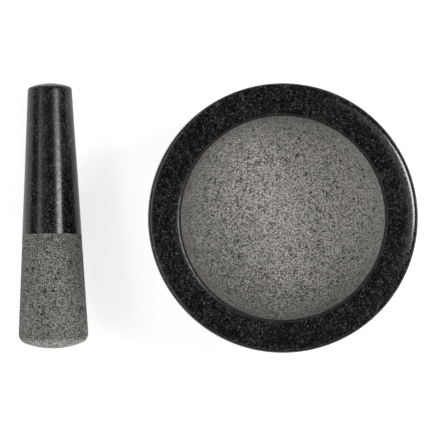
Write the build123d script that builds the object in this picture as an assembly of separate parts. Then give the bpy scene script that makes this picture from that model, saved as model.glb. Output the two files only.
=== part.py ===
from build123d import *
from math import atan, cos, degrees, sin
import os

# A stone mortar and pestle set. The mortar is one block of black granite with a thick flat rim and
# a deep rounded bowl. The pestle is one tapered bar of the same stone, and it lies on the table to
# the left of the mortar, with its grinding end towards -Y. A round foam pad is stuck to the
# mortar's base. Millimetres. +Z is up, the table is Z = 0, and the origin is the middle of the pad.

# Mortar
MORTAR_RADIUS = 70.0  # outside of the rim, the widest place
MORTAR_HEIGHT = 84.0  # the stone alone, from its base to the top of the rim
RIM_WIDTH = 17.0  # from the outside of the rim to the bowl's wall
FLOOR_THICKNESS = 24.0  # stone left under the deepest point of the bowl
BOWL_FULLNESS = 0.56  # how boxy the bowl's curve is: 0.55 is an ellipse and 1.0 a square corner
WALL_DRAFT = 11.0  # how much smaller the base's radius is than the rim's
WALL_BULGE = 2.7  # how far the outer wall bows out from a straight taper
BASE_EDGE_RADIUS = 7.0
RIM_EDGE_RADIUS = 2.6  # the rounded outer edge of the rim
LIP_RADIUS = 1.8  # the rounded edge between the rim and the bowl
RIM_CROWN = 0.7  # how far the rim's two edges lie below its middle

# Pad under the mortar
PAD_THICKNESS = 2.0
PAD_INSET = 9.0  # from the edge of the stone's flat base to the pad's edge
PAD_EDGE_RADIUS = 0.4

# Pestle
PESTLE_LENGTH = 142.6
GRINDING_RADIUS = 19.15  # of the taper's sharp outline at the grinding end
HANDLE_RADIUS = 11.7  # of the taper's sharp outline at the handle end
GRINDING_DOME = 4.5  # height of the shallow dome on the grinding end
HANDLE_DOME = 2.5  # height of the shallow dome on the handle end
GRINDING_EDGE_RADIUS = 5.4
HANDLE_EDGE_RADIUS = 1.8

# How the pestle lies beside the mortar
GAP = 33.1  # clear space between the mortar's rim and the pestle
PESTLE_YAW = 1.0  # degrees that the pestle's handle turns towards -X
PESTLE_BACK = 1.28  # how far the pestle's middle lies towards +Y from the mortar's


def limited(radius, room):
    """An edge radius, kept under nine tenths of the stone that it is rounded into."""
    return min(radius, 0.9 * room)


def corner_circles(solid):
    """The full circles along a turned solid's corners, lowest first."""
    circles = solid.edges().filter_by(GeomType.CIRCLE).filter_by(lambda edge: edge.is_closed)
    return circles.sort_by(Axis.Z)


def base_radius():
    """Radius of the mortar's sharp outline at its base."""
    return MORTAR_RADIUS - WALL_DRAFT


def base_edge_radius():
    """Radius of the mortar's rounded base edge."""
    return limited(BASE_EDGE_RADIUS, FLOOR_THICKNESS)


def mortar_outline():
    """Half of the mortar's section, on the plane of its axis, with every edge still sharp."""
    bowl_radius = MORTAR_RADIUS - RIM_WIDTH
    rim_middle = MORTAR_RADIUS - RIM_WIDTH / 2
    edge_height = MORTAR_HEIGHT - RIM_CROWN
    bowl_depth = edge_height - FLOOR_THICKNESS
    wall_middle = (MORTAR_RADIUS - WALL_DRAFT / 2 + WALL_BULGE, edge_height / 2)
    with BuildSketch(Plane.XZ) as outline:
        with BuildLine():
            Line((0, 0), (base_radius(), 0))
            ThreePointArc((base_radius(), 0), wall_middle, (MORTAR_RADIUS, edge_height))
            ThreePointArc(
                (MORTAR_RADIUS, edge_height), (rim_middle, MORTAR_HEIGHT), (bowl_radius, edge_height)
            )
            Bezier(
                (bowl_radius, edge_height),
                (bowl_radius, edge_height - BOWL_FULLNESS * bowl_depth),
                (BOWL_FULLNESS * bowl_radius, FLOOR_THICKNESS),
                (0, FLOOR_THICKNESS),
            )
            Line((0, FLOOR_THICKNESS), (0, 0))
        make_face()
    return outline.sketch


def mortar():
    """The block with its bowl, with its base, its rim and its lip rounded."""
    stone = revolve(mortar_outline(), axis=Axis.Z)
    base_edge, *rim_edges = corner_circles(stone)
    lip, outer_edge = sorted(rim_edges, key=lambda edge: edge.radius)
    stone = stone.fillet(limited(LIP_RADIUS, RIM_WIDTH / 2), [lip])
    stone = stone.fillet(limited(RIM_EDGE_RADIUS, RIM_WIDTH / 2), [outer_edge])
    stone = stone.fillet(base_edge_radius(), [base_edge])
    return Pos(0, 0, PAD_THICKNESS) * stone


def base_pad():
    """The foam pad: a thin round disc stuck to the flat of the mortar's base."""
    flat_radius = base_radius() - base_edge_radius()
    disc = Cylinder(flat_radius - PAD_INSET, PAD_THICKNESS, align=(Align.CENTER, Align.CENTER, Align.MIN))
    return disc.fillet(limited(PAD_EDGE_RADIUS, PAD_THICKNESS / 2), [corner_circles(disc)[0]])


def pestle_taper():
    """How much the pestle's radius shrinks for each millimetre of its length."""
    return (GRINDING_RADIUS - HANDLE_RADIUS) / PESTLE_LENGTH


def pestle_upright():
    """The pestle standing on its grinding end: a long cone with a shallow dome at each end."""
    grinding_corner = (GRINDING_RADIUS - GRINDING_DOME * pestle_taper(), GRINDING_DOME)
    handle_corner = (HANDLE_RADIUS + HANDLE_DOME * pestle_taper(), PESTLE_LENGTH - HANDLE_DOME)
    with BuildSketch(Plane.XZ) as outline:
        with BuildLine():
            TangentArc((0, 0), grinding_corner, tangent=(1, 0))
            Line(grinding_corner, handle_corner)
            TangentArc((0, PESTLE_LENGTH), handle_corner, tangent=(1, 0))
            Line((0, PESTLE_LENGTH), (0, 0))
        make_face()
    bar = revolve(outline.sketch, axis=Axis.Z)
    grinding_edge, handle_edge = corner_circles(bar)
    bar = bar.fillet(limited(GRINDING_EDGE_RADIUS, GRINDING_RADIUS / 2), [grinding_edge])
    return bar.fillet(limited(HANDLE_EDGE_RADIUS, HANDLE_RADIUS / 2), [handle_edge])


def pestle():
    """The pestle lying on the table on its side, beside the mortar."""
    half_angle = atan(pestle_taper())
    axis_height = GRINDING_RADIUS * cos(half_angle)
    lying = Pos(0, 0, axis_height) * Rot(-90 - degrees(half_angle), 0, 0) * pestle_upright()
    turned = Rot(0, 0, PESTLE_YAW) * lying
    box = turned.bounding_box()
    return Pos(-MORTAR_RADIUS - GAP - box.max.X, PESTLE_BACK - box.center().Y, 0) * turned


os.makedirs("parts", exist_ok=True)
export_step(mortar(), "parts/mortar.step")
export_step(base_pad(), "parts/base_pad.step")
export_step(pestle(), "parts/pestle.step")
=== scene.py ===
# %% [markdown]
# # A granite mortar and pestle
#
# The set is two stones and a pad. The mortar is one round block of black granite with a broad
# polished rim and a rough ground bowl. The pestle is one tapered bar of the same stone, polished at
# the handle and ground at the working end. Both stones already exist as plain solids with the right
# sizes, so this lesson only remakes their surfaces: worn edges, grinding marks, pits and grain.
# Everything is in metres, with +Z up and the origin under the middle of the mortar.

# %% Load the frame
import random
from math import asin, atan, cos, degrees, hypot, pi, radians, sin

import bmesh
import bpy
from mathutils import Matrix, Vector, noise
from mathutils.geometry import interpolate_bezier
from mathutils.kdtree import KDTree


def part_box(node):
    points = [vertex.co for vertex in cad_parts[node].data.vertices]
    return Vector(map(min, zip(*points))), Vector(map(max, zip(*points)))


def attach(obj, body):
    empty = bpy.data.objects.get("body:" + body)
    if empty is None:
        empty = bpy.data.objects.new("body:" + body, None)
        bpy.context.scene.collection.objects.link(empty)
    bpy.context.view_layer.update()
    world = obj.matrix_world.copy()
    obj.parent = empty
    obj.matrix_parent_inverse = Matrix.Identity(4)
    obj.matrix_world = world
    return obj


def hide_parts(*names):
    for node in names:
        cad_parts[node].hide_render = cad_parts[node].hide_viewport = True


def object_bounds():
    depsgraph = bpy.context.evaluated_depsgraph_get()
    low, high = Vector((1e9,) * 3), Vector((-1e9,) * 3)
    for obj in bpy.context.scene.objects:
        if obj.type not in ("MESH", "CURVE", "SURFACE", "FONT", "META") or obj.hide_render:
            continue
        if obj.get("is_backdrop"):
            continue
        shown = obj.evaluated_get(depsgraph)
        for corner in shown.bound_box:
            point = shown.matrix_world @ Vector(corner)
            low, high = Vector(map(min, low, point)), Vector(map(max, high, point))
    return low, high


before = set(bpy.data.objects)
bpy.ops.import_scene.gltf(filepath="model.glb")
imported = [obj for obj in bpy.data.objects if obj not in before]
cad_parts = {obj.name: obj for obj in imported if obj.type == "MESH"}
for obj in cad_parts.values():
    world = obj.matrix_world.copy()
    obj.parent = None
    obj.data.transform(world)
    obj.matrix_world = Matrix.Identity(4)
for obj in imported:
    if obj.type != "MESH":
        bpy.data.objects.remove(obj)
cad_low, cad_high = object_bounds()
MM = 0.001
bpy.context.scene.view_settings.view_transform = "Standard"
print("the set measures", [round(side / MM, 1) for side in cad_high - cad_low], "mm")

# %% [markdown]
# ## Camera
#
# A long lens from two metres straight above shows both stones almost without perspective, the way
# a catalogue shows them. The camera looks down with +Y towards the top of the picture. It is made
# first, because every later choice of detail depends on how large a millimetre looks.

# %% Camera
CAMERA_HEIGHT = 1.95
CAMERA_X = -33.67 * MM  # near the middle of the whole set
VIEW_WIDTH = 0.22554  # across the picture, at the height of the mortar's rim
SENSOR_WIDTH = 36.0  # the lens and the sensor are the only sizes in millimetres
NEAREST_SEEN = 0.05
FARTHEST_SEEN = 20.0
rim_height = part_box("mortar")[1].z

camera_data = bpy.data.cameras.new("camera")
camera_data.sensor_width = SENSOR_WIDTH
camera_data.lens = SENSOR_WIDTH * (CAMERA_HEIGHT - rim_height) / VIEW_WIDTH
camera_data.clip_start = NEAREST_SEEN
camera_data.clip_end = FARTHEST_SEEN
camera = bpy.data.objects.new("camera", camera_data)
camera.location = (CAMERA_X, 0.0, CAMERA_HEIGHT)
bpy.context.scene.collection.objects.link(camera)
bpy.context.scene.camera = camera
print("lens", round(camera_data.lens), "mm")

# %% [markdown]
# ## The light table
#
# The set lies on a white table that glows a little, as a catalogue's table does. A large disc is
# enough for it. The glow is stronger for the camera than for the stones: the camera then sees almost
# pure white with only a breath of shadow, and the stones' lower edges don't pick up too much light.

# %% Floor
FLOOR_RADIUS = 6.0
FLOOR_SEGMENTS = 64
TABLE_WHITE = (0.90, 0.90, 0.895)
TABLE_ROUGHNESS = 0.8
GLOW_TO_STONES = 0.60
GLOW_TO_CAMERA = 0.86


def glowing_paint(name, color, roughness, to_stones, to_camera):
    """Matt paint that glows with one strength for the stones and another for the camera."""
    material = bpy.data.materials.new(name)
    material.use_nodes = True
    nodes = material.node_tree.nodes
    links = material.node_tree.links
    shader = nodes["Principled BSDF"]
    shader.inputs["Base Color"].default_value = (*color, 1.0)
    shader.inputs["Emission Color"].default_value = (*color, 1.0)
    shader.inputs["Roughness"].default_value = roughness
    ray = nodes.new("ShaderNodeLightPath")
    glow = nodes.new("ShaderNodeMapRange")
    glow.inputs["To Min"].default_value = to_stones
    glow.inputs["To Max"].default_value = to_camera
    links.new(ray.outputs["Is Camera Ray"], glow.inputs["Value"])
    links.new(glow.outputs["Result"], shader.inputs["Emission Strength"])
    return material


def object_from(maker, name):
    """Links a new object whose mesh is the given bmesh, and frees the bmesh."""
    mesh = bpy.data.meshes.new(name)
    maker.to_mesh(mesh)
    maker.free()
    thing = bpy.data.objects.new(name, mesh)
    bpy.context.scene.collection.objects.link(thing)
    return thing


floor_maker = bmesh.new()
bmesh.ops.create_circle(floor_maker, cap_ends=True, segments=FLOOR_SEGMENTS, radius=FLOOR_RADIUS)
floor = object_from(floor_maker, "floor")
table = glowing_paint("light table", TABLE_WHITE, TABLE_ROUGHNESS, GLOW_TO_STONES, GLOW_TO_CAMERA)
floor.data.materials.append(table)
floor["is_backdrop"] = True
print("floor", FLOOR_RADIUS, "m in radius")

# %% [markdown]
# ## The dark room
#
# Polished black stone is a mirror: whatever stands above it shows in it. A sky that is nearly black
# all over keeps the rim and the handle black. It could be one flat grey, but a ramp that is a little
# brighter at the horizon than overhead also lifts the rounded edges off the flat of the rim.

# %% Sky
HORIZON = (0.045, 0.045, 0.0445, 1.0)
SHOULDER = (0.04, 0.04, 0.04, 1.0)
ZENITH = (0.035, 0.035, 0.035, 1.0)
HORIZON_HEIGHT = 0.02  # where each colour sits: 0 is level and 1 is straight up
SHOULDER_HEIGHT = 0.45
ZENITH_HEIGHT = 0.90
world = bpy.data.worlds.new("studio")
bpy.context.scene.world = world
world.use_nodes = True
sky_nodes = world.node_tree.nodes
sky_links = world.node_tree.links
direction = sky_nodes.new("ShaderNodeTexCoord")
split = sky_nodes.new("ShaderNodeSeparateXYZ")
fade = sky_nodes.new("ShaderNodeValToRGB")
fade.color_ramp.elements[0].position = HORIZON_HEIGHT
fade.color_ramp.elements[0].color = HORIZON
fade.color_ramp.elements[1].position = ZENITH_HEIGHT
fade.color_ramp.elements[1].color = ZENITH
shoulder = fade.color_ramp.elements.new(SHOULDER_HEIGHT)
shoulder.color = SHOULDER
sky_links.new(direction.outputs["Generated"], split.inputs["Vector"])
sky_links.new(split.outputs["Z"], fade.inputs["Fac"])
sky_links.new(fade.outputs["Color"], sky_nodes["Background"].inputs["Color"])
print("sky fades from", HORIZON[0], "at the horizon to", ZENITH[0], "overhead")

# %% [markdown]
# ## The lamps
#
# Each bright shape on the polish is the mirror image of one lamp. A strong softbox to the right draws
# the bright line down the handle and the crescent on the rim's edge. A long dim one to the left draws
# the thin grey line on the other side of the handle. The rest are faint, and they soften the shade in
# the bowl. Area lamps are used because their size sets how wide those mirror images are.

# %% Lamps
AIM = Vector((-0.03, 0.0, 0.05))  # near the middle of the set


def softbox(name, azimuth, tilt, distance, size, radiance):
    """A rectangular lamp aimed at the set.

    Azimuth turns from +X, and tilt leans away from overhead, both in degrees. Size is the level side
    and then the leaning one. Radiance is how bright the lamp looks in a mirror.
    """
    around, lean = radians(azimuth), radians(tilt)
    away = Vector((sin(lean) * cos(around), sin(lean) * sin(around), cos(lean)))
    data = bpy.data.lights.new(name, "AREA")
    data.shape = "RECTANGLE"
    data.size, data.size_y = size
    data.energy = radiance * pi * size[0] * size[1]
    lamp = bpy.data.objects.new(name, data)
    lamp.location = AIM + away * distance
    lamp.rotation_mode = "QUATERNION"
    lamp.rotation_quaternion = away.to_track_quat("Z", "Y")
    lamp.visible_camera = False
    bpy.context.scene.collection.objects.link(lamp)
    print(name, "is", size, "m at", distance, "m")


softbox("softbox right", azimuth=13, tilt=34, distance=1.5, size=(0.48, 0.54), radiance=14.0)
softbox("haze right", azimuth=18, tilt=19, distance=1.5, size=(0.60, 0.34), radiance=0.6)
softbox("ceiling left", azimuth=182, tilt=50, distance=1.8, size=(2.6, 0.48), radiance=2.2)
softbox("haze left", azimuth=180, tilt=30, distance=1.8, size=(2.0, 0.60), radiance=0.35)
softbox("window front", azimuth=-90, tilt=50, distance=1.8, size=(1.8, 0.6), radiance=0.55)

# %% [markdown]
# ## Small tools for shader graphs
#
# Stone needs many small nodes, and a few short helpers keep the graphs readable. plug fills an input
# with a number or a link, and add places a node. math, vector_math, ramp and mix work on numbers,
# vectors and colours, and soft_noise and cells are the two textures that everything here is made of.

# %% Node helpers
def plug(tree, socket, value):
    """Fills one input with a number, a colour, a vector or a link from another node."""
    if isinstance(value, bpy.types.NodeSocket):
        tree.links.new(value, socket)
    else:
        socket.default_value = value


def add(tree, kind, **values):
    """Adds a node. Keywords set its properties, or its input sockets by name with _ for a space."""
    node = tree.nodes.new("ShaderNode" + kind)
    for key, value in values.items():
        if hasattr(node, key):
            setattr(node, key, value)
        else:
            plug(tree, node.inputs[key.replace("_", " ")], value)
    return node


def math(tree, operation, first, second=0.0, third=0.0, clamp=False):
    """The result of a Math node whose inputs are numbers or sockets."""
    node = add(tree, "Math", operation=operation, use_clamp=clamp)
    for socket, value in zip(node.inputs, (first, second, third)):
        plug(tree, socket, value)
    return node.outputs["Value"]


def vector_math(tree, operation, *values):
    """The outputs of a Vector Math node: Vector, or Value where the result is one number."""
    node = add(tree, "VectorMath", operation=operation)
    for socket, value in zip(node.inputs, values):
        plug(tree, socket, value)
    return node.outputs


def ramp(tree, value, low, high, to_low=0.0, to_high=1.0):
    """A smooth step: value below low gives to_low, above high gives to_high."""
    node = add(
        tree, "MapRange", interpolation_type="SMOOTHSTEP", Value=value, From_Min=low, From_Max=high,
        To_Min=to_low, To_Max=to_high,
    )
    return node.outputs["Result"]


def mix(tree, factor, first, second):
    """A colour mixed from two colours or sockets."""
    node = add(tree, "Mix", data_type="RGBA")
    plug(tree, node.inputs[0], factor)
    for socket, color in ((node.inputs[6], first), (node.inputs[7], second)):
        plug(tree, socket, (*color, 1.0) if isinstance(color, tuple) else color)
    return node.outputs[2]


# %% Texture helpers
def soft_noise(tree, place, scale, detail=2.0, roughness=0.5):
    """Soft clouds of numbers from 0 to 1, with about as many clouds to a metre as scale says."""
    node = add(tree, "TexNoise", Vector=place, Scale=scale, Detail=detail, Roughness=roughness)
    return node.outputs["Fac"]


def cells(tree, place, scale):
    """Packed cells: the distance from each cell's middle, and three random numbers for each cell."""
    texture = add(tree, "TexVoronoi", Vector=place, Scale=scale)
    numbers = add(tree, "SeparateColor", Color=texture.outputs["Color"])
    return texture.outputs["Distance"], numbers.outputs


def new_group(name, inputs, outputs):
    """A shader node group. Inputs are (name, socket type, default) rows, and outputs (name, type)."""
    tree = bpy.data.node_groups.new(name, "ShaderNodeTree")
    for label, kind, default in inputs:
        socket = tree.interface.new_socket(label, in_out="INPUT", socket_type="NodeSocket" + kind)
        if default is not None:
            socket.default_value = default
    for label, kind in outputs:
        tree.interface.new_socket(label, in_out="OUTPUT", socket_type="NodeSocket" + kind)
    return tree, tree.nodes.new("NodeGroupInput").outputs, tree.nodes.new("NodeGroupOutput").inputs


# %% [markdown]
# ## The stone itself
#
# Black granite is a crowd of interlocking crystals, most of them nearly black, some dark grey and a
# few pale. A Voronoi texture has exactly that structure: every cell is one crystal with its own
# random numbers. Soft noise on top makes the clouds of lighter and darker stone, and stretched cells
# make the thin pale needles. The group hands out numbers, and each material chooses its colours.

# %% Granite group: crystals
BEND = 0.9 * MM  # how far noise pushes the crystals' outlines about
GRAINS_PER_CRYSTAL = 2.3
granite, given, result = new_group(
    "black granite",
    [("Vector", "Vector", None), ("Crystal Size", "Float", 1.1 * MM)],
    [("Shade", "Float"), ("Fleck", "Float"), ("Dullness", "Float")],
)
per_crystal = math(granite, "DIVIDE", 1.0, given["Crystal Size"])
push = add(granite, "TexNoise", Vector=given["Vector"], Scale=per_crystal, Detail=2.0)
push = vector_math(granite, "SUBTRACT", push.outputs["Color"], (0.5, 0.5, 0.5))["Vector"]
bent = vector_math(granite, "MULTIPLY_ADD", push, (BEND, BEND, BEND), given["Vector"])["Vector"]
_, crystal_numbers = cells(granite, bent, per_crystal)
_, grain_numbers = cells(granite, bent, math(granite, "MULTIPLY", per_crystal, GRAINS_PER_CRYSTAL))
print("granite has", len(granite.nodes), "nodes so far")

# %% Granite group: clouds and needles
CLOUDS_PER_CRYSTAL = 0.16
NEEDLES_PER_CRYSTAL = 1.6
NEEDLE_TURN = (0.6, 0.9, 0.4)
NEEDLE_STRETCH = (1.0, 0.30, 0.8)
cloud_scale = math(granite, "MULTIPLY", per_crystal, CLOUDS_PER_CRYSTAL)
clouds = soft_noise(granite, given["Vector"], cloud_scale, detail=4.0, roughness=0.6)
needle_space = add(granite, "Mapping", Vector=bent, Rotation=NEEDLE_TURN, Scale=NEEDLE_STRETCH)
needle_scale = math(granite, "MULTIPLY", per_crystal, NEEDLES_PER_CRYSTAL)
_, needle_numbers = cells(granite, needle_space.outputs["Vector"], needle_scale)
print("granite has", len(granite.nodes), "nodes so far")

# %% [markdown]
# ## From random numbers to crystals
#
# A random number that is raised to a high power is nearly always small, so only a few cells come out
# bright. That is how this stone looks: mostly black, with grey crystals here and there. A cell's
# second number picks the very few that become flecks, and its third makes it a little duller or
# shinier than its neighbours.

# %% Granite group: what it gives
CRYSTAL_POWER = 5.0
NEEDLE_POWER = 4.0
CRYSTAL_LIGHT = 0.45
GRAIN_LIGHT = 0.85
NEEDLE_LIGHT = 0.22
shade = math(granite, "POWER", crystal_numbers[0], CRYSTAL_POWER)
shade = math(granite, "MULTIPLY", shade, CRYSTAL_LIGHT)
grain_shade = math(granite, "POWER", grain_numbers[0], CRYSTAL_POWER)
shade = math(granite, "MULTIPLY_ADD", grain_shade, GRAIN_LIGHT, shade)
needle_shade = math(granite, "POWER", needle_numbers[0], NEEDLE_POWER)
shade = math(granite, "MULTIPLY_ADD", needle_shade, NEEDLE_LIGHT, shade)
cloud = ramp(granite, clouds, 0.32, 0.68, to_low=0.55, to_high=1.25)
plug(granite, result["Shade"], math(granite, "MULTIPLY", shade, cloud))
flecks = ramp(granite, grain_numbers[1], 0.985, 0.992)
needle_flecks = ramp(granite, needle_numbers[1], 0.985, 0.995, to_high=NEEDLE_LIGHT)
plug(granite, result["Fleck"], math(granite, "MAXIMUM", flecks, needle_flecks))
plug(granite, result["Dullness"], math(granite, "SUBTRACT", crystal_numbers[2], 0.5))
print("black granite gives", [socket.name for socket in result if socket.name])

# %% [markdown]
# ## Ground stone
#
# A diamond wheel leaves granite pale and matt, because the surface is crushed into tiny facets that
# scatter light. Crystals that were torn out leave pits, and the pits are painted dark: partly the
# stone's own darker colour, partly painted shade in the hollow. Some pits are single dots and others
# are short curved rows, so the group draws dots in one Voronoi texture and thin arcs in another.

# %% Ground stone group: grit
GRIT_PER_METRE = 1500.0
CRUMBS_PER_METRE = 2700.0
PATCHES_PER_METRE = 150.0
ground, given, result = new_group(
    "ground stone",
    [("Vector", "Vector", None), ("Grain", "Float", 0.3), ("Pit Spacing", "Float", 1.25 * MM),
     ("Pale", "Float", 0.5), ("Dent", "Float", 0.0), ("Turning", "Float", 0.0),
     ("Contrast", "Float", 1.0)],
    [("Color", "Color"), ("Height", "Float")],
)
grit = soft_noise(ground, given["Vector"], GRIT_PER_METRE, detail=3.0, roughness=0.6)
patches = soft_noise(ground, given["Vector"], PATCHES_PER_METRE, detail=4.0, roughness=0.65)
_, crumb_numbers = cells(ground, given["Vector"], CRUMBS_PER_METRE)
print("ground stone has", len(ground.nodes), "nodes so far")

# %% Ground stone group: dots
SMALLEST_DOT = 0.16  # as a share of the pits' spacing, like the other sizes here
DOT_SPREAD = 0.18
per_pit = math(ground, "DIVIDE", 1.0, given["Pit Spacing"])
dot_distance, dot_numbers = cells(ground, given["Vector"], per_pit)
crowd = ramp(ground, patches, 0.40, 0.60, to_low=0.98, to_high=0.92)
has_dot = math(ground, "GREATER_THAN", dot_numbers[0], crowd)
dot_size = math(ground, "MULTIPLY_ADD", dot_numbers[1], DOT_SPREAD, SMALLEST_DOT)
dot = math(ground, "SUBTRACT", dot_distance, dot_size)
dot = ramp(ground, dot, -0.05, 0.09, to_low=1.0, to_high=0.0)
dot = math(ground, "MULTIPLY", dot, has_dot)
print("ground stone has", len(ground.nodes), "nodes so far")

# %% Ground stone group: arcs
ARCS_PER_DOT = 0.42
ARC_RADIUS = 0.27
ARC_RARITY = 0.93
arc_scale = math(ground, "MULTIPLY", per_pit, ARCS_PER_DOT)
arc_distance, arc_numbers = cells(ground, given["Vector"], arc_scale)
arc = math(ground, "ABSOLUTE", math(ground, "SUBTRACT", arc_distance, ARC_RADIUS))
arc = ramp(ground, arc, 0.045, 0.11, to_low=1.0, to_high=0.0)
arc = math(ground, "MULTIPLY", arc, ramp(ground, grit, 0.40, 0.47))
arc = math(ground, "MULTIPLY", arc, math(ground, "GREATER_THAN", arc_numbers[1], ARC_RARITY))
pits = math(ground, "MAXIMUM", dot, arc)
pits = math(ground, "MAXIMUM", pits, given["Dent"])
print("ground stone has", len(ground.nodes), "nodes so far")

# %% [markdown]
# ## The colour of crushed stone
#
# The paleness is one number, and everything that makes the surface uneven multiplies it: grit, single
# crumbs, turning marks, patches and the stone's own crystals. Multiplying keeps the contrast the same
# on pale and dark stone, where adding would flatten one of them.

# %% Ground stone group: colour
DUST_DARK = (0.026, 0.0248, 0.023)
DUST_PALE = (0.86, 0.833, 0.777)
# the pits' colour: partly the stone's own darker colour, partly painted shade in the hollow
PIT_AND_SHADE_COLOR = (0.010, 0.0098, 0.0095)
CRUMB_CONTRAST = 3.5
BRIGHT_CRUMBS = 0.90  # above this random number a crumb is bright
BRIGHT_CONTRAST = 0.90
MARK_CONTRAST = 0.22
GRAIN_CONTRAST = 0.30
GRAIN_MIDDLE = 0.22
uneven = ramp(ground, grit, 0.30, 0.70, to_low=-0.22, to_high=0.22)
crumb = math(ground, "SUBTRACT", crumb_numbers[0], 0.5)
uneven = math(ground, "MULTIPLY_ADD", crumb, CRUMB_CONTRAST, uneven)
bright = math(ground, "GREATER_THAN", crumb_numbers[1], BRIGHT_CRUMBS)
uneven = math(ground, "MULTIPLY_ADD", bright, BRIGHT_CONTRAST, uneven)
uneven = math(ground, "MULTIPLY_ADD", given["Turning"], MARK_CONTRAST, uneven)
grain = math(ground, "SUBTRACT", given["Grain"], GRAIN_MIDDLE)
uneven = math(ground, "MULTIPLY_ADD", grain, GRAIN_CONTRAST, uneven)
uneven = math(ground, "ADD", uneven, ramp(ground, patches, 0.3, 0.7, to_low=-0.12, to_high=0.12))
uneven = math(ground, "MULTIPLY", uneven, given["Contrast"])
level = math(ground, "MULTIPLY_ADD", uneven, given["Pale"], given["Pale"], clamp=True)
dust = mix(ground, level, DUST_DARK, DUST_PALE)
# pits and dents are mixed towards the pit colour, which is partly painted shade
plug(ground, result["Color"], mix(ground, math(ground, "MULTIPLY", pits, 0.95), dust, PIT_AND_SHADE_COLOR))
print("ground stone has", len(ground.nodes), "nodes so far")

# %% Ground stone group: height
CRUMB_HEIGHT = 0.16  # shares of the bump's whole height
GRIT_HEIGHT = 0.28
MARK_HEIGHT = 0.25
PIT_HEIGHT = -0.9
relief = math(ground, "MULTIPLY", crumb_numbers[0], CRUMB_HEIGHT)
relief = math(ground, "MULTIPLY_ADD", grit, GRIT_HEIGHT, relief)
relief = math(ground, "MULTIPLY_ADD", given["Turning"], MARK_HEIGHT, relief)
plug(ground, result["Height"], math(ground, "MULTIPLY_ADD", pits, PIT_HEIGHT, relief))
print("ground stone gives", [socket.name for socket in result if socket.name])

# %% [markdown]
# ## One material, three finishes
#
# Both stones are polished granite that turns into ground granite across a sharp line, and the lip of
# the mortar is honed, which lies between the two. So one function makes the material, and each stone
# gives it masks that say where each finish is, from 0 for none to 1 for all.

# %% Stone colours and turning marks
POLISHED_DARK = (0.002, 0.002, 0.002)
POLISHED_LIGHT = (0.094, 0.0925, 0.0885)
POLISHED_FLECK = (0.20, 0.197, 0.189)
HONED_DARK = (0.010, 0.0098, 0.0095)
HONED_LIGHT = (0.058, 0.0565, 0.0535)
DRIFTS_PER_METRE = 220.0
FADES_PER_METRE = 45.0
DRIFT = 5.0
print("polished stone reflects", POLISHED_DARK[0], "to", POLISHED_LIGHT[0])


def turning_marks(tree, place, along, pitch):
    """Uneven fine lines across the direction of along, from -1 to 1, that fade in and out."""
    drift = math(tree, "MULTIPLY", soft_noise(tree, place, DRIFTS_PER_METRE), DRIFT)
    phase = math(tree, "MULTIPLY_ADD", along, 2 * pi / pitch, drift)
    strength = ramp(tree, soft_noise(tree, place, FADES_PER_METRE), 0.42, 0.62)
    return math(tree, "MULTIPLY", math(tree, "SINE", phase), strength)


# %% Stone material
SHADE_POWER = 1.3
UNEVEN_SHINE = 0.14
HONED_ROUGHNESS = 0.55  # these two are added to the roughness of the polish
GROUND_ROUGHNESS = 0.8
POLISHED_HEIGHT = 0.02
RELIEF_DEPTH = 0.22 * MM
RELIEF_STRENGTH = 0.8


def stone_material(name, gloss, index, make_masks):
    """Polished, honed and ground granite in one material, laid out by the masks of make_masks."""
    material = bpy.data.materials.new(name)
    material.use_nodes = True
    tree = material.node_tree
    shader = tree.nodes["Principled BSDF"]
    place = add(tree, "TexCoord").outputs["Object"]
    ground_mask, honed_mask, pale, contrast, dull, turning = make_masks(tree, place)
    # how dark each dent is painted: partly the stone's own colour, partly painted shade in the hollow
    dent = add(tree, "Attribute", attribute_name="dent").outputs["Fac"]
    stone = add(tree, "Group", node_tree=granite, Vector=place).outputs
    rough = add(
        tree, "Group", node_tree=ground, Vector=place, Grain=stone["Shade"], Pale=pale, Dent=dent,
        Turning=turning, Contrast=contrast,
    ).outputs
    polished = mix(tree, math(tree, "POWER", stone["Shade"], SHADE_POWER), POLISHED_DARK, POLISHED_LIGHT)
    polished = mix(tree, stone["Fleck"], polished, POLISHED_FLECK)
    honed = mix(tree, stone["Shade"], HONED_DARK, HONED_LIGHT)
    color = mix(tree, honed_mask, polished, honed)
    color = mix(tree, ground_mask, color, rough["Color"])
    plug(tree, shader.inputs["Base Color"], color)
    shine = math(tree, "MULTIPLY_ADD", stone["Dullness"], UNEVEN_SHINE, gloss)
    shine = math(tree, "ADD", shine, dull)
    shine = math(tree, "MULTIPLY_ADD", honed_mask, HONED_ROUGHNESS, shine)
    shine = math(tree, "MULTIPLY_ADD", ground_mask, GROUND_ROUGHNESS, shine, clamp=True)
    plug(tree, shader.inputs["Roughness"], shine)
    shader.inputs["IOR"].default_value = index
    height = math(tree, "MULTIPLY", rough["Height"], ground_mask)
    height = math(tree, "MULTIPLY_ADD", stone["Shade"], POLISHED_HEIGHT, height)
    bump = add(tree, "Bump", Height=height, Distance=RELIEF_DEPTH, Strength=RELIEF_STRENGTH)
    plug(tree, shader.inputs["Normal"], bump.outputs["Normal"])
    print(name, "has", len(tree.nodes), "nodes")
    return material


# %% [markdown]
# ## The mortar's shape
#
# A mortar is turned, so half of its section spun round the axis gives the whole block. The section
# is walked from the middle of the base, out along the bottom, up the bowed wall, over the crowned
# rim and down into the bowl. Corners are arcs that run smoothly into their neighbours, because a
# polished stone shows the smallest kink as a broken reflection.

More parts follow.
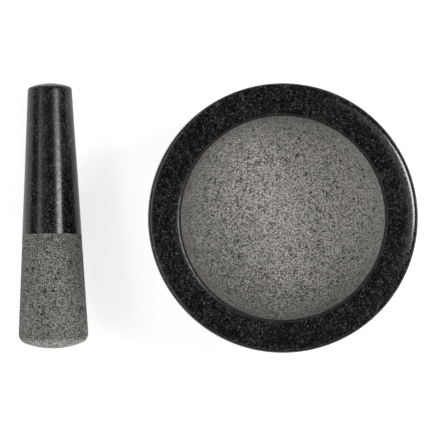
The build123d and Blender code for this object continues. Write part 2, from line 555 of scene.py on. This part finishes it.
# %% Mortar sizes
WALL_DRAFT = 11.0 * MM
RIM_WIDTH = 17.0 * MM
FLOOR_THICKNESS = 24.0 * MM
RIM_CROWN = 0.7 * MM
low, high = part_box("mortar")
MORTAR_RADIUS = (high.x - low.x) / 2
BASE_RADIUS = MORTAR_RADIUS - WALL_DRAFT
BOWL_RADIUS = MORTAR_RADIUS - RIM_WIDTH
FLOOR_Z = low.z + FLOOR_THICKNESS
EDGE_Z = high.z - RIM_CROWN
print("mortar radius", round(MORTAR_RADIUS / MM, 2), "bowl radius", round(BOWL_RADIUS / MM, 2))

# %% Arcs in the section
def point(r, z):
    """A point of the section, r from the axis and z up."""
    return Vector((r, 0, z))


def rounded(before, corner, after, radius, steps):
    """The points of an arc that rounds a corner between two straight runs in the (r, z) plane."""
    into = (corner - before).normalized()
    out = (after - corner).normalized()
    turn = into.angle(out)
    reach = radius * sin(turn / 2) / cos(turn / 2)
    start = corner - into * reach
    side = 1 if into.cross(out).y < 0 else -1
    centre = start + Vector((-into.z, 0, into.x)) * radius * side
    points = []
    for step in range(steps + 1):
        angle = side * turn * step / steps
        spoke = start - centre
        points.append(centre + Matrix.Rotation(-angle, 3, "Y") @ spoke)
    return points


def arc_through(start, middle, end, steps):
    """Points on the circle through three points of the (r, z) plane, from start to end."""
    chord = end - start
    half = chord.length / 2
    across = Vector((-chord.z, 0, chord.x)).normalized()
    rise = (middle - (start + end) / 2).dot(across)
    radius = (half**2 + rise**2) / (2 * rise)
    centre = (start + end) / 2 + across * (rise - radius)
    sweep = 2 * asin(half / abs(radius)) * (-1 if rise > 0 else 1)
    return [
        centre + Matrix.Rotation(-sweep * step / steps, 3, "Y") @ (start - centre)
        for step in range(steps + 1)
    ]


# %% Mortar outline
WALL_BULGE = 2.7 * MM
FULLNESS = 0.56  # how boxy the bowl is: 0.55 is an ellipse and 1.0 a square corner
ARC_STEPS = 30
BOWL_POINTS = 170
foot = point(BASE_RADIUS, low.z)
outer = point(MORTAR_RADIUS, EDGE_Z)
inner = point(BOWL_RADIUS, EDGE_Z)
wall_middle = point((BASE_RADIUS + MORTAR_RADIUS) / 2 + WALL_BULGE, (low.z + EDGE_Z) / 2)
wall = arc_through(foot, wall_middle, outer, ARC_STEPS)
crown = arc_through(outer, point((MORTAR_RADIUS + BOWL_RADIUS) / 2, high.z), inner, ARC_STEPS)
bowl = interpolate_bezier(
    inner,
    point(BOWL_RADIUS, EDGE_Z - FULLNESS * (EDGE_Z - FLOOR_Z)),
    point(FULLNESS * BOWL_RADIUS, FLOOR_Z),
    point(0, FLOOR_Z),
    BOWL_POINTS,
)
print("wall", len(wall), "crown", len(crown), "bowl", len(bowl))

# %% [markdown]
# ## Rounded corners
#
# No edge of a polished stone is sharp: the foot, the outer edge of the rim and the lip of the bowl are
# all rounded with a wheel. The corner of the outline is cut out and an arc is put in its place. A
# bevel modifier could do it, but an arc in the outline gives even faces and an exact radius. Beside the
# outer edge the flat of the rim also drops by a hair, where the polishing pad rolled over it.

# %% Corner helper
def clear_of(corner, points, distance):
    """The points that lie further from a corner than the distance."""
    return [p for p in points if (p - corner).length > distance]


def blend_corner(first, second, radius, steps):
    """Joins two runs of points with an arc in place of their shared corner."""
    corner = first[-1]
    kept_first = clear_of(corner, first, radius * 1.02)
    kept_second = clear_of(corner, second, radius * 1.02)
    arc = rounded(kept_first[-1], corner, kept_second[0], radius, steps)
    kept_first = clear_of(corner, kept_first, (arc[0] - corner).length * 1.05)
    kept_second = clear_of(corner, kept_second, (arc[-1] - corner).length * 1.05)
    return kept_first + arc, kept_second


# %% Mortar corners
BASE_EDGE_RADIUS = 7.0 * MM
RIM_EDGE_RADIUS = 2.6 * MM
LIP_RADIUS = 1.8 * MM
BOTTOM_STEPS = 6
SOFT_START = MORTAR_RADIUS - 4.0 * MM
SOFT_END = MORTAR_RADIUS - 1.8 * MM
SOFT_DEPTH = 3 * MM  # only points this close under the rim belong to its flat
SOFT_DROP = 0.05 * MM
bottom = [point(BASE_RADIUS * step / BOTTOM_STEPS, low.z) for step in range(BOTTOM_STEPS + 1)]
bottom, wall = blend_corner(bottom, wall, BASE_EDGE_RADIUS, 10)
wall, crown = blend_corner(wall, crown, RIM_EDGE_RADIUS, 12)
crown, bowl = blend_corner(crown, bowl, LIP_RADIUS, 10)
section = bottom + wall + crown + bowl
for p in section:
    if p.z > EDGE_Z - SOFT_DEPTH and p.x > SOFT_START:
        share = min(1.0, (p.x - SOFT_START) / (SOFT_END - SOFT_START))
        p.z -= SOFT_DROP * share**2
print("section points", len(section))

# %% [markdown]
# ## Spinning the section
#
# One full turn of the spin operator makes the block. The points on the axis fall on one another, so
# doubles are merged, which closes the poles, and the normals are then turned outwards.

# %% Mortar mesh
MORTAR_SEGMENTS = 360
SAME_POINT = 0.002 * MM


def turned(name, outline, segments):
    """Spins an outline round the Z axis into a closed bmesh."""
    maker = bmesh.new()
    points = [maker.verts.new(p) for p in outline]
    edges = [maker.edges.new(pair) for pair in zip(points, points[1:])]
    bmesh.ops.spin(
        maker, geom=points + edges, cent=(0, 0, 0), axis=(0, 0, 1), angle=2 * pi, steps=segments,
        use_merge=True, use_duplicate=False,
    )
    bmesh.ops.remove_doubles(maker, verts=maker.verts[:], dist=SAME_POINT)
    bmesh.ops.recalc_face_normals(maker, faces=maker.faces[:])
    maker.normal_update()
    for face in maker.faces:
        face.smooth = True
    print(name, "faces", len(maker.faces), "closed", all(edge.is_manifold for edge in maker.edges))
    return maker


mortar_maker = turned("mortar", section, MORTAR_SEGMENTS)
print("mortar triangles", sum(len(face.verts) - 2 for face in mortar_maker.faces))

# %% [markdown]
# ## Relief
#
# Grinding tools leave three kinds of real relief: shallow rings from turning, dents where whole
# crystals were torn out, and small chips along the edges. Rings come from a sine along the section.
# Dents and chips are scattered with a fixed seed, and each one pushes the vertices round it inwards.
# Every vertex also remembers how deep its dent is, so that the material can darken it: partly the
# stone's own darker colour, partly painted shade in the hollow.

# %% Dents
chance = random.Random(11)
GROOVE_WIDTH = 0.45  # the sizes here are shares of the dent's own size
GROOVE_OPENING = 0.3
REACH = 1.8
# how dark a dent's deepest point is painted, partly as painted shade
DARKEST = 0.9


def scatter_dents(maker, allowed, count, sizes, depths, bent):
    """Presses small dents into a bmesh. A bent dent is a curved groove in place of a round hollow."""
    layer = maker.verts.layers.float.get("dent") or maker.verts.layers.float.new("dent")
    maker.verts.ensure_lookup_table()
    tree = KDTree(len(maker.verts))
    for vert in maker.verts:
        tree.insert(vert.co, vert.index)
    tree.balance()
    spots = [vert for vert in maker.verts if allowed(vert)]
    areas = [sum(face.calc_area() for face in vert.link_faces) for vert in spots]
    middles = chance.choices(spots, areas, k=count)
    moves = {}
    for middle in middles:
        size = chance.uniform(*sizes)
        depth = chance.uniform(*depths)
        ring = size if chance.random() < bent else 0.0
        facing = middle.normal.orthogonal().normalized()
        facing.rotate(Matrix.Rotation(chance.uniform(0, 2 * pi), 3, middle.normal))
        for place, index, away in tree.find_range(middle.co, size * REACH):
            vert = maker.verts[index]
            spoke = place - middle.co
            if ring and spoke.dot(facing) < -GROOVE_OPENING * size:
                continue
            across = abs(away - ring) / (GROOVE_WIDTH * size if ring else size)
            if across < 1.0:
                press = depth * (1 - across**2) ** 2
                moves[index] = max(moves.get(index, 0.0), press)
                # the dent's darkness for the material, greatest where it is deepest: partly painted shade
                vert[layer] = max(vert[layer], (1 - across**2) * DARKEST)
    for index, press in moves.items():
        vert = maker.verts[index]
        vert.co -= vert.normal * press
    print("dents", count, "moved", len(moves), "vertices")


# %% Rings and waviness
RING_BENDS_PER_METRE = 90
RING_FADES_PER_METRE = 40


def press_rings(maker, allowed, along, pitch, depth):
    """Presses shallow uneven rings into a bmesh, as far apart as pitch."""
    for vert in maker.verts:
        if allowed(vert):
            here = noise.noise(vert.co * RING_BENDS_PER_METRE)
            wave = sin(2 * pi * along(vert) / pitch + 2.5 * here)
            fade = 0.6 + 0.8 * noise.noise(vert.co * RING_FADES_PER_METRE)
            vert.co -= vert.normal * depth * (0.5 + 0.5 * wave) * fade


def wander(maker, size, amount):
    """Moves every vertex a very little along its normal, so that no surface is perfectly turned."""
    for vert in maker.verts:
        vert.co += vert.normal * amount * noise.noise(vert.co / size)


# %% [markdown]
# ## Wear on the mortar
#
# The bowl has the most dents, because it was left rough so that it grips the food. The lip and the
# rim's outer edge have a few small chips from knocks. Three small tests say where each kind belongs,
# and the rim's flat gets none, because it was polished last.

# %% Where the wear goes
BOWL_TOP = EDGE_Z - 2.4 * MM


def flat_radius(vert):
    """How far a vertex is from the axis."""
    return hypot(vert.co.x, vert.co.y)


def in_bowl(vert):
    """Whether a vertex is on the bowl's wall or floor."""
    between = FLOOR_Z - 1 * MM < vert.co.z < BOWL_TOP
    return between and flat_radius(vert) < BOWL_RADIUS + 0.1 * MM


def on_lip(vert):
    """Whether a vertex is on the rounded edge between the rim and the bowl."""
    near = abs(flat_radius(vert) - BOWL_RADIUS - 0.4 * MM) < 0.5 * MM
    return near and vert.co.z > EDGE_Z - 2.5 * MM


def on_outer_edge(vert):
    """Whether a vertex is on the rim's rounded outer edge."""
    return vert.co.z > EDGE_Z - 3.5 * MM and flat_radius(vert) > MORTAR_RADIUS - 0.8 * MM


# %% Mortar relief
WANDER_SIZE = 30 * MM
RING_DEPTH = 0.05 * MM
wander(mortar_maker, WANDER_SIZE, 0.012 * MM)
press_rings(mortar_maker, in_bowl, lambda vert: vert.co.z + flat_radius(vert), 2.6 * MM, RING_DEPTH)
scatter_dents(mortar_maker, in_bowl, 330, (0.5 * MM, 1.1 * MM), (0.12 * MM, 0.32 * MM), 0.35)
scatter_dents(mortar_maker, on_lip, 26, (0.6 * MM, 1.3 * MM), (0.10 * MM, 0.30 * MM), 0.0)
scatter_dents(mortar_maker, on_outer_edge, 9, (0.6 * MM, 1.1 * MM), (0.08 * MM, 0.20 * MM), 0.0)
mortar = object_from(mortar_maker, "stone_mortar")
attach(mortar, "mortar")
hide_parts("mortar")
print("stone_mortar stands in for the plain mortar")

# %% [markdown]
# ## The mortar's finish
#
# Three finishes meet on this block: polish outside, a thin honed band round the lip, and ground stone
# in the bowl and under the base. Distance from the axis and height are enough to tell them apart, with
# a little noise so that the borders waver as hand work does. The bowl's colour is painted palest to
# the right and back and darker towards the opposite wall: painted light over the stone's own paleness.

# %% Mortar material
WAVERS_PER_METRE = 300.0
# the middle of the painted light in the bowl, where the ground stone is painted palest
PAINTED_LIGHT_MIDDLE = (42 * MM, 28 * MM, 0.0)
MORTAR_GLOSS = 0.13
MORTAR_INDEX = 1.58


def mortar_masks(tree, place):
    """Ground stone is in the bowl and on the base, the lip is honed, and one side is painted palest as
    painted light.
    """
    axes = add(tree, "SeparateXYZ", Vector=place).outputs
    flat = add(tree, "CombineXYZ", X=axes["X"], Y=axes["Y"]).outputs["Vector"]
    radius = vector_math(tree, "LENGTH", flat)["Value"]
    waver = soft_noise(tree, place, WAVERS_PER_METRE, detail=3.0)
    wavering = math(tree, "MULTIPLY_ADD", waver, 0.5 * MM, radius)
    honed = ramp(tree, wavering, BOWL_RADIUS + 1.15 * MM, BOWL_RADIUS + 1.7 * MM, 1.0, 0.0)
    above = math(tree, "GREATER_THAN", axes["Z"], FLOOR_Z - 5 * MM)
    honed = math(tree, "MULTIPLY", honed, above)
    inside = math(tree, "LESS_THAN", radius, BOWL_RADIUS + 2 * LIP_RADIUS)
    inside = math(tree, "MULTIPLY", inside, above)
    depth = math(tree, "SUBTRACT", EDGE_Z, axes["Z"])
    depth = math(tree, "MULTIPLY_ADD", waver, 1.0 * MM, depth)
    deep = ramp(tree, depth, LIP_RADIUS + 0.3 * MM, LIP_RADIUS + 3.0 * MM)
    under = math(tree, "LESS_THAN", axes["Z"], low.z + 0.3 * MM)
    ground_mask = math(tree, "MAXIMUM", math(tree, "MULTIPLY", inside, deep), under)
    # painted light: the ground stone is painted palest round one spot and darker away from it, over its own
    # paleness
    far = vector_math(tree, "DISTANCE", flat, PAINTED_LIGHT_MIDDLE)["Value"]
    pale = ramp(tree, far, 14 * MM, 98 * MM, to_low=0.74, to_high=0.198)
    contrast = ramp(tree, radius, 8 * MM, 46 * MM, to_low=0.86, to_high=1.65)
    marks = turning_marks(tree, place, math(tree, "ADD", radius, axes["Z"]), 1.6 * MM)
    marks = math(tree, "MULTIPLY", marks, 0.6)
    return ground_mask, honed, pale, contrast, 0.0, marks


mortar_finish = stone_material("mortar granite", MORTAR_GLOSS, MORTAR_INDEX, mortar_masks)
mortar.data.materials.append(mortar_finish)

# %% [markdown]
# ## The pestle's shape
#
# The pestle is a long cone with a shallow dome at each end, turned from one bar. It lies on its side,
# so it is spun upright first, where its rings and dents are easy to place, and then laid down. Its
# foot is wider than its handle, so on the table its axis tilts by half the cone's angle.

# %% Pestle sizes
PESTLE_LENGTH = 142.6 * MM
GRINDING_RADIUS = 19.15 * MM
HANDLE_RADIUS = 11.7 * MM
GRINDING_DOME = 4.5 * MM
HANDLE_DOME = 2.5 * MM
taper = (GRINDING_RADIUS - HANDLE_RADIUS) / PESTLE_LENGTH
half_angle = atan(taper)
print("the pestle's axis tilts by", round(degrees(half_angle), 2), "degrees")

# %% Pestle outline
PESTLE_SEGMENTS = 256
SIDE_STEPS = 240
GRINDING_EDGE_RADIUS = 5.4 * MM
HANDLE_EDGE_RADIUS = 1.8 * MM
grinding_corner = point(GRINDING_RADIUS - GRINDING_DOME * taper, GRINDING_DOME)
handle_corner = point(HANDLE_RADIUS + HANDLE_DOME * taper, PESTLE_LENGTH - HANDLE_DOME)


def dome(tip_z, corner, steps):
    """A shallow cap from the axis to a corner, as part of a circle centred on the axis."""
    height = corner.z - tip_z
    radius = (corner.x**2 + height**2) / (2 * abs(height))
    span = asin(corner.x / radius)
    up = 1 if height > 0 else -1
    return [
        point(radius * sin(span * s / steps), tip_z + up * radius * (1 - cos(span * s / steps)))
        for s in range(steps + 1)
    ]


cap = dome(0.0, grinding_corner, 40)
side = [grinding_corner.lerp(handle_corner, s / SIDE_STEPS) for s in range(SIDE_STEPS + 1)]
top = dome(PESTLE_LENGTH, handle_corner, 20)[::-1]
cap, side = blend_corner(cap, side, GRINDING_EDGE_RADIUS, 14)
side, top = blend_corner(side, top, HANDLE_EDGE_RADIUS, 8)
pestle_maker = turned("pestle", cap + side + top, PESTLE_SEGMENTS)

# %% [markdown]
# ## Wear on the pestle
#
# The working end was ground, not polished, so its surface lies a hair below the polished one, and that
# step is what makes the border between the two so crisp. Fine rings from the lathe cross it, and small
# dents are scattered over it. The handle stays smooth.

# %% Pestle relief
GROUND_LENGTH = 60.9 * MM
GROUND_STEP = 0.06 * MM
STEP_START = 5 * MM
RINGS_START = 7 * MM
RINGS_END = GROUND_LENGTH - 1 * MM


def height_up(vert):
    """How far up the upright pestle a vertex is."""
    return vert.co.z


def has_rings(vert):
    """Whether a vertex is on the ground side, away from the tip and from the border."""
    return RINGS_START < vert.co.z < RINGS_END


def on_ground_end(vert):
    """Whether a vertex is on the ground end, tip and all."""
    return vert.co.z < GROUND_LENGTH


wander(pestle_maker, WANDER_SIZE, 0.05 * MM)
for vert in pestle_maker.verts:
    if STEP_START < vert.co.z < GROUND_LENGTH:
        vert.co -= vert.normal * GROUND_STEP
press_rings(pestle_maker, has_rings, height_up, 1.7 * MM, RING_DEPTH)
scatter_dents(pestle_maker, on_ground_end, 160, (0.5 * MM, 1.0 * MM), (0.08 * MM, 0.25 * MM), 0.4)

# %% [markdown]
# ## Laying the pestle down
#
# The bar is tipped over until its handle points to +Y, and turned by one degree. It could be moved into
# place by known distances, but its box in the plain model already says where it lies, so the two boxes'
# middles are brought together and their sizes compared.

# %% Lay the pestle down
YAW = radians(1.0)


def box_of(maker):
    """The lowest and the highest corner of a bmesh's box."""
    lowest = Vector([min(vert.co[axis] for vert in maker.verts) for axis in range(3)])
    highest = Vector([max(vert.co[axis] for vert in maker.verts) for axis in range(3)])
    return lowest, highest


pestle_low, pestle_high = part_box("pestle")
lay_down = Matrix.Rotation(YAW, 4, "Z") @ Matrix.Rotation(-pi / 2 - half_angle, 4, "X")
pestle_maker.transform(lay_down)
lows, highs = box_of(pestle_maker)
shift = (pestle_low + pestle_high) / 2 - (lows + highs) / 2
pestle_place = Matrix.Translation(shift) @ lay_down
pestle_maker.transform(Matrix.Translation(shift))
pestle = object_from(pestle_maker, "stone_pestle")
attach(pestle, "pestle")
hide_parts("pestle")
print("pestle size error", [round(v / MM, 3) for v in (highs - lows) - (pestle_high - pestle_low)])

# %% [markdown]
# ## The pestle's finish
#
# It is the same stone, polished and ground, so it uses the same material function. The border follows
# the length of the bar, which lies at an angle, so a Mapping node turns the pattern back upright. The
# tip is palest, and the polish is dullest at the handle's end.

# %% Pestle material
PESTLE_GLOSS = 0.20
PESTLE_INDEX = 1.44


def pestle_masks(tree, place):
    """Ground stone reaches GROUND_LENGTH up the bar, its tip is palest, and the handle's end is dull."""
    back = pestle_place.inverted()
    upright = add(
        tree, "Mapping", Vector=place, Location=back.to_translation(), Rotation=back.to_euler("XYZ")
    )
    along = add(tree, "SeparateXYZ", Vector=upright.outputs["Vector"]).outputs["Z"]
    waver = soft_noise(tree, place, WAVERS_PER_METRE, detail=3.0)
    edge = math(tree, "MULTIPLY_ADD", waver, 1.0 * MM, along)
    mask = ramp(tree, edge, GROUND_LENGTH + 0.3 * MM, GROUND_LENGTH + 0.7 * MM, 1.0, 0.0)
    pale = ramp(tree, along, 2.0 * MM, 5.5 * MM, to_low=0.62, to_high=0.235)
    dull = ramp(tree, along, GROUND_LENGTH, PESTLE_LENGTH, to_high=0.08)
    marks = turning_marks(tree, place, along, 1.05 * MM)
    marks = math(tree, "MULTIPLY", marks, ramp(tree, along, 10 * MM, 45 * MM, 0.9, 2.4))
    return mask, 0.0, pale, 1.0, dull, marks


pestle_finish = stone_material("pestle granite", PESTLE_GLOSS, PESTLE_INDEX, pestle_masks)
pestle.data.materials.append(pestle_finish)

# %% [markdown]
# ## The foam pad
#
# A thin disc of black foam is glued under the base, so that the stone doesn't scratch the table. It is
# a turned shape like the stones, with a soft rounded foot. Its underside is pebbled, so the vertices
# there rise a little with noise, while its outline stays a clean circle.

# %% Pad shape
PAD_THICKNESS = 2 * MM
PAD_EDGE_RADIUS = 0.4 * MM
PAD_BULGE = 0.1 * MM
PEBBLE_HEIGHT = 0.06 * MM
PEBBLES_PER_METRE = 500
FOOT_STEPS = 60
PAD_SIDE_STEPS = 10
PAD_TOP_STEPS = 20
PAD_SEGMENTS = 256
pad_low, pad_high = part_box("base_pad")
PAD_RADIUS = (pad_high.x - pad_low.x) / 2
FLAT_RADIUS = PAD_RADIUS - PAD_BULGE
pad_foot = [point(FLAT_RADIUS * step / FOOT_STEPS, pad_low.z) for step in range(FOOT_STEPS + 1)]
pad_side = [
    point(
        FLAT_RADIUS + PAD_BULGE * sin(pi * step / PAD_SIDE_STEPS),
        pad_low.z + PAD_THICKNESS * step / PAD_SIDE_STEPS,
    )
    for step in range(PAD_SIDE_STEPS + 1)
]
pad_top = [point(FLAT_RADIUS * (1 - step / PAD_TOP_STEPS), pad_high.z) for step in range(PAD_TOP_STEPS + 1)]
pad_foot, pad_side = blend_corner(pad_foot, pad_side, PAD_EDGE_RADIUS, 6)
pad_maker = turned("pad", pad_foot + pad_side + pad_top[1:], PAD_SEGMENTS)
for vert in pad_maker.verts:
    if vert.co.z < pad_low.z + 0.05 * MM:
        vert.co.z += PEBBLE_HEIGHT * max(0.0, noise.noise(vert.co * PEBBLES_PER_METRE))
pad = object_from(pad_maker, "foam_pad")
print("pad radius", round(PAD_RADIUS / MM, 1), "mm")

# %% [markdown]
# ## Foam
#
# Closed-cell foam is a skin of tiny round hollows with thin walls. Two Voronoi textures of different
# size make the hollows, which are lower than the walls and painted darker, as painted shade, and soft
# noise rubs some places smoother and greyer, where the pad has slid over a table.

# %% Foam textures
SMALL_CELLS_PER_METRE = 1700.0
BIG_CELLS_PER_METRE = 700.0
SMEARS_PER_METRE = 60.0
foam = bpy.data.materials.new("foam")
foam.use_nodes = True
foam_tree = foam.node_tree
foam_place = add(foam_tree, "TexCoord").outputs["Object"]
small_cell, _ = cells(foam_tree, foam_place, SMALL_CELLS_PER_METRE)
big_cell, _ = cells(foam_tree, foam_place, BIG_CELLS_PER_METRE)
small_hollow = ramp(foam_tree, small_cell, 0.10, 0.55, to_low=1.0, to_high=0.0)
big_hollow = ramp(foam_tree, big_cell, 0.05, 0.30, to_low=1.0, to_high=0.0)
hollow = math(foam_tree, "MULTIPLY_ADD", big_hollow, 0.6, small_hollow)
smear = soft_noise(foam_tree, foam_place, SMEARS_PER_METRE, detail=4.0)
rubbed = ramp(foam_tree, smear, 0.40, 0.65)
print("foam has", len(foam_tree.nodes), "nodes so far")

# %% Foam material
FOAM_BLACK = (0.020, 0.020, 0.021)
FOAM_GREY = (0.040, 0.040, 0.041)
# the foam's hollows are painted this dark, as painted shade
PAINTED_HOLLOW_SHADE = (0.006, 0.006, 0.006)
FOAM_RELIEF = 0.15 * MM
foam_shader = foam_tree.nodes["Principled BSDF"]
foam_color = mix(foam_tree, rubbed, FOAM_BLACK, FOAM_GREY)
# painted shade: the hollows are darkened towards the hollow colour
hollow_shade = math(foam_tree, "MULTIPLY", hollow, 0.7, clamp=True)
foam_color = mix(foam_tree, hollow_shade, foam_color, PAINTED_HOLLOW_SHADE)
foam_roughness = ramp(foam_tree, rubbed, 0.0, 1.0, to_low=0.92, to_high=0.70)
foam_height = math(foam_tree, "MULTIPLY", hollow, -1.0)
foam_bump = add(foam_tree, "Bump", Height=foam_height, Distance=FOAM_RELIEF, Strength=0.8)
plug(foam_tree, foam_shader.inputs["Base Color"], foam_color)
plug(foam_tree, foam_shader.inputs["Roughness"], foam_roughness)
plug(foam_tree, foam_shader.inputs["Normal"], foam_bump.outputs["Normal"])
pad.data.materials.append(foam)
print("foam has", len(foam_tree.nodes), "nodes")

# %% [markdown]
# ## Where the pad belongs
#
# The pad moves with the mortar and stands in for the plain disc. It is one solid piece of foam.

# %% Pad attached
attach(pad, "mortar")
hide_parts("base_pad")

# %% [markdown]
# ## Size check
#
# Remade surfaces must not grow out of the plain solids they replace, so both boxes are measured and
# how much the set grew is printed.

# %% Sizes
new_low, new_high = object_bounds()
grown = (new_high - new_low) - (cad_high - cad_low)
print("grew by", [round(side / MM, 2) for side in grown], "mm")
